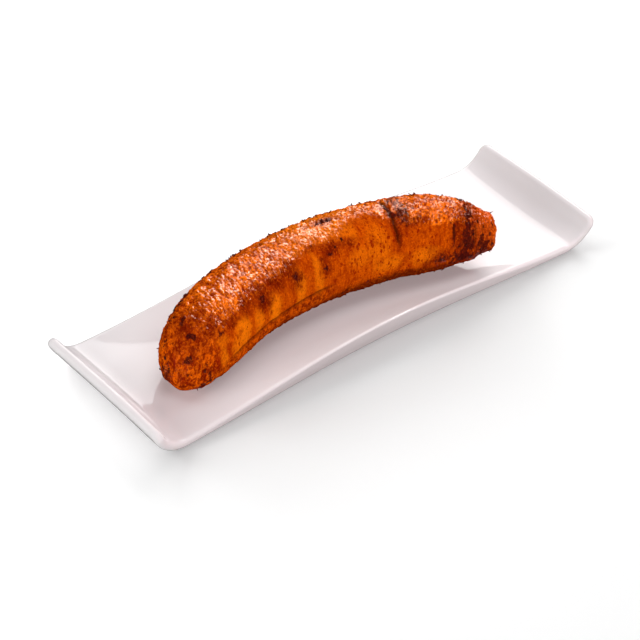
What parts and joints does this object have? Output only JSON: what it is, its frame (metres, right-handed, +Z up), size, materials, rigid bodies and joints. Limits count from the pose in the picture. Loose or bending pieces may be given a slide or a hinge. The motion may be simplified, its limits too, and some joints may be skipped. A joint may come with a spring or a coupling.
{
  "type": "fried plantain on a platter",
  "caption": "Whole fried plantain, curved and browned, lying on a narrow white porcelain platter with curled-up ends and gently raised long sides.",
  "frame": {"origin": "middle of the platter's footprint, on the table", "axes": "+X along the platter towards the plantain's cut end, -Y towards the plantain's hollow side, +Z up"},
  "size_m": [0.2988, 0.0822, 0.0454],
  "materials": {
    "glaze": "glossy white glaze",
    "crust": "fried crust, orange to dark brown, glossy with oil on top"
  },
  "bodies": {
    "root": {"platter": "glaze", "plantain": "crust"}
  },
  "joints": []
}
